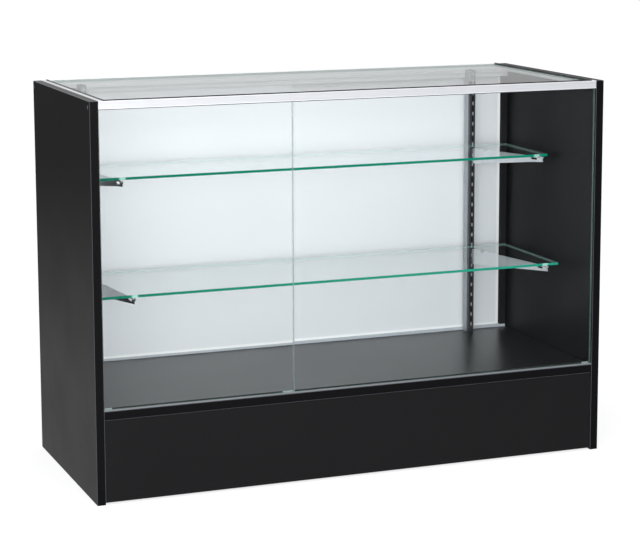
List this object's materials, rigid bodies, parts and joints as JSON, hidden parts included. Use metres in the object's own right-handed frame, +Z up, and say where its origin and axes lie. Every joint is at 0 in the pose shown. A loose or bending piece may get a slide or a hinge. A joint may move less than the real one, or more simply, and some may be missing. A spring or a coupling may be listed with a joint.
{
  "type": "full vision display case",
  "caption": "Glass display counter with black ends and base, aluminium rails, glass shelves on slotted standards, and rear sliding doors with a plunger lock.",
  "frame": {"origin": "on the floor, under the middle of the case", "axes": "+Z up, +X to the right of a customer who faces the front glass, -Y out of the front glass towards that customer"},
  "size_m": [1.2192, 0.508, 0.8785],
  "materials": {
    "black_melamine": "black melamine faced board, semi matt",
    "satin_aluminium": "satin anodised extrusion",
    "float_glass": "clear, green at the edges",
    "white_door_board": "white faced hardboard",
    "black_plastic": "black extruded plastic",
    "pale_plastic": "pale grey extruded plastic",
    "bright_zinc": "steel, bright zinc plated",
    "dark_steel": "steel, dark grey",
    "lock_chrome": "polished",
    "clear_plastic": "clear soft plastic"
  },
  "bodies": {
    "case": {"left_end_panel": "black_melamine", "right_end_panel": "black_melamine", "deck_panel": "black_melamine", "front_kick_panel": "black_melamine", "rear_base_panel": "black_melamine", "deck_support_rib": "black_melamine", "left_front_cam_fitting": "bright_zinc", "left_rear_cam_fitting": "bright_zinc", "right_front_cam_fitting": "bright_zinc", "right_rear_cam_fitting": "bright_zinc", "front_top_rail": "satin_aluminium", "rear_top_rail": "satin_aluminium", "left_side_rail": "satin_aluminium", "right_side_rail": "satin_aluminium", "top_glass_gasket": "black_plastic", "left_front_rail_screw": "bright_zinc", "left_rear_rail_screw": "bright_zinc", "right_front_rail_screw": "bright_zinc", "right_rear_rail_screw": "bright_zinc", "top_glass": "float_glass", "front_glass_left": "float_glass", "front_glass_right": "float_glass", "front_glass_channel": "satin_aluminium", "left_glazing_block": "pale_plastic", "centre_glazing_block": "pale_plastic", "right_glazing_block": "pale_plastic", "lower_door_track": "pale_plastic", "upper_door_track": "pale_plastic", "left_door_jamb": "black_plastic", "right_door_jamb": "black_plastic", "left_post": "satin_aluminium", "right_post": "satin_aluminium", "left_standard": "dark_steel", "right_standard": "dark_steel", "left_standard_upper_screw": "bright_zinc", "left_standard_lower_screw": "bright_zinc", "right_standard_upper_screw": "bright_zinc", "right_standard_lower_screw": "bright_zinc", "upper_left_bracket": "bright_zinc", "upper_right_bracket": "bright_zinc", "lower_left_bracket": "bright_zinc", "lower_right_bracket": "bright_zinc", "upper_left_front_rest": "clear_plastic", "upper_left_rear_rest": "clear_plastic", "upper_right_front_rest": "clear_plastic", "upper_right_rear_rest": "clear_plastic", "lower_left_front_rest": "clear_plastic", "lower_left_rear_rest": "clear_plastic", "lower_right_front_rest": "clear_plastic", "lower_right_rear_rest": "clear_plastic", "upper_glass_shelf": "float_glass", "lower_glass_shelf": "float_glass"},
    "left_door": {"left_sliding_door": "white_door_board", "left_finger_pull": "bright_zinc", "lock_receiver": "lock_chrome"},
    "right_door": {"right_sliding_door": "white_door_board", "right_finger_pull": "bright_zinc", "lock_body": "lock_chrome"},
    "lock_plunger": {"lock_plunger": "lock_chrome"},
    "lock_key_plug": {"lock_key_plug": "lock_chrome"}
  },
  "joints": [
    {"name": "left_door_slide", "type": "slide", "parent": "case", "child": "left_door", "axis": [1, 0, 0], "range_m": [0, 0.565]},
    {"name": "right_door_slide", "type": "slide", "parent": "case", "child": "right_door", "axis": [1, 0, 0], "range_m": [-0.555, 0]},
    {"name": "lock_push", "type": "slide", "parent": "right_door", "child": "lock_plunger", "axis": [0, -1, 0], "range_m": [0, 0.0023]},
    {"name": "key_turn", "type": "hinge", "parent": "lock_plunger", "child": "lock_key_plug", "pos_m": [0, 0.2186, 0.5066], "axis": [0, 1, 0], "range_deg": [0, 90]}
  ]
}
